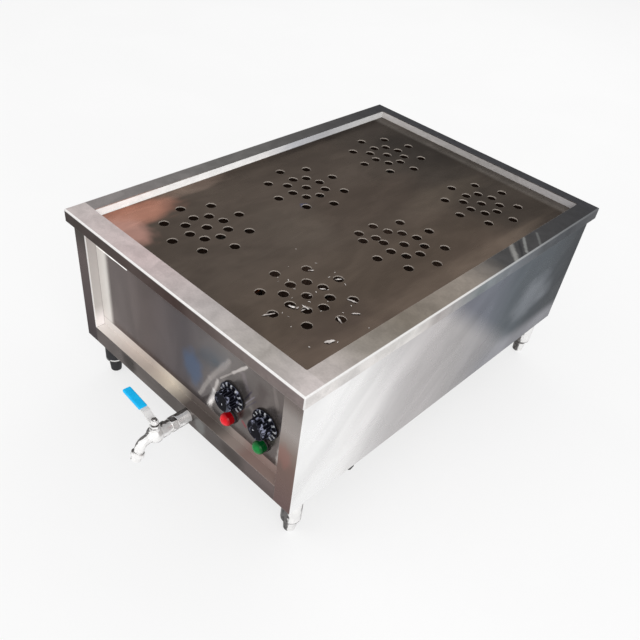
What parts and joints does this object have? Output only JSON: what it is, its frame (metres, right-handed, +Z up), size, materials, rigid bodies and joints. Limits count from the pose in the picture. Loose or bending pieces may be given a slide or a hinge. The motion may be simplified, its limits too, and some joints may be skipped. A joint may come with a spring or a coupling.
{
  "type": "dumpling steamer",
  "caption": "Low stainless steaming table for dumpling baskets: perforated lift-out plate over a heated water tank, knobs and lamps in a recessed panel, lever drain tap, screw feet.",
  "frame": {"origin": "on the floor under the middle of the whole footprint, drain tap included", "axes": "+X to the right side seen from the control end, +Y to the rear, +Z up; the control end and the tap face -Y"},
  "size_m": [0.6, 0.9704, 0.383],
  "materials": {
    "rim_steel": "brushed",
    "casing_steel": "satin",
    "panel_steel": "polished",
    "plate_steel": "polished",
    "tank_steel": "satin",
    "inner_steel": "satin",
    "leg_steel": "satin",
    "tap_metal": "polished",
    "pipe_steel": "satin",
    "screw_steel": "bright",
    "nut_brass": "machined",
    "capillary_copper": "drawn",
    "heater_metal": "oxidised",
    "knob_black": "semi gloss",
    "bezel_black": "gloss",
    "lens_red": "clear gloss",
    "lens_green": "clear gloss",
    "sleeve_blue": "satin",
    "seat_white": "matt",
    "block_cream": "matt",
    "wire_cover": "satin",
    "gland_rubber": "matt"
  },
  "bodies": {
    "cabinet": {"top_rim": "rim_steel", "water_tank": "tank_steel", "plate_ledges": "inner_steel", "plate_crossbars": "inner_steel", "left_side": "casing_steel", "right_side": "casing_steel", "rear_panel": "casing_steel", "front_rail": "casing_steel", "control_panel": "panel_steel", "base_panel": "inner_steel", "base_screws": "screw_steel", "leg_bushes": "leg_steel", "thermostat_screws": "screw_steel", "sensor_left": "capillary_copper", "sensor_right": "capillary_copper", "sensor_glands": "nut_brass", "sensor_clips": "inner_steel", "red_lens": "lens_red", "green_lens": "lens_green", "lamp_bezels": "bezel_black", "lamp_bodies": "bezel_black", "lamp_nuts": "bezel_black", "heater_left": "heater_metal", "heater_right": "heater_metal", "heater_nuts": "nut_brass", "heater_supports": "inner_steel", "heater_terminals": "block_cream", "terminal_block": "block_cream", "internal_wires": "wire_cover", "earth_stud": "nut_brass", "cord_gland": "gland_rubber", "drain_drop": "pipe_steel", "drain_elbow": "pipe_steel", "drain_run": "pipe_steel", "outlet_socket": "tap_metal", "tap_inlet": "tap_metal", "tap_body": "tap_metal", "tap_seats": "seat_white", "tap_gland_nut": "tap_metal", "nozzle_ring": "tap_metal", "leg_front_left": "leg_steel", "leg_front_right": "leg_steel", "leg_rear_left": "leg_steel", "leg_rear_right": "leg_steel", "thermostat_left": "inner_steel", "thermostat_right": "inner_steel"},
    "plate": {"steam_plate": "plate_steel"},
    "knob_left": {"knob_left": "knob_black", "thermostat_shaft_left": "screw_steel"},
    "knob_right": {"knob_right": "knob_black", "thermostat_shaft_right": "screw_steel"},
    "tap_handle": {"tap_lever": "tap_metal", "lever_sleeve": "sleeve_blue", "lever_nut": "tap_metal", "tap_stem": "tap_metal", "tap_ball": "tap_metal"},
    "foot_front_left": {"foot_front_left": "leg_steel"},
    "foot_front_right": {"foot_front_right": "leg_steel"},
    "foot_rear_left": {"foot_rear_left": "leg_steel"},
    "foot_rear_right": {"foot_rear_right": "leg_steel"}
  },
  "joints": [
    {"name": "plate_lift", "type": "slide", "parent": "cabinet", "child": "plate", "axis": [0, 0, 1], "range_m": [0, 0.15]},
    {"name": "knob_left_turn", "type": "hinge", "parent": "cabinet", "child": "knob_left", "pos_m": [0.1235, -0.348, 0.231], "axis": [0, 1, 0], "range_deg": [0, 270]},
    {"name": "knob_right_turn", "type": "hinge", "parent": "cabinet", "child": "knob_right", "pos_m": [0.2035, -0.348, 0.231], "axis": [0, 1, 0], "range_deg": [0, 270]},
    {"name": "tap_turn", "type": "hinge", "parent": "cabinet", "child": "tap_handle", "pos_m": [0.027, -0.43424, 0.119], "axis": [0, 0, 1], "range_deg": [0, 90]},
    {"name": "foot_front_left_travel", "type": "slide", "parent": "cabinet", "child": "foot_front_left", "axis": [0, 0, -1], "range_m": [-0.003, 0.025]},
    {"name": "foot_front_right_travel", "type": "slide", "parent": "cabinet", "child": "foot_front_right", "axis": [0, 0, -1], "range_m": [-0.003, 0.025]},
    {"name": "foot_rear_left_travel", "type": "slide", "parent": "cabinet", "child": "foot_rear_left", "axis": [0, 0, -1], "range_m": [-0.003, 0.025]},
    {"name": "foot_rear_right_travel", "type": "slide", "parent": "cabinet", "child": "foot_rear_right", "axis": [0, 0, -1], "range_m": [-0.003, 0.025]}
  ]
}
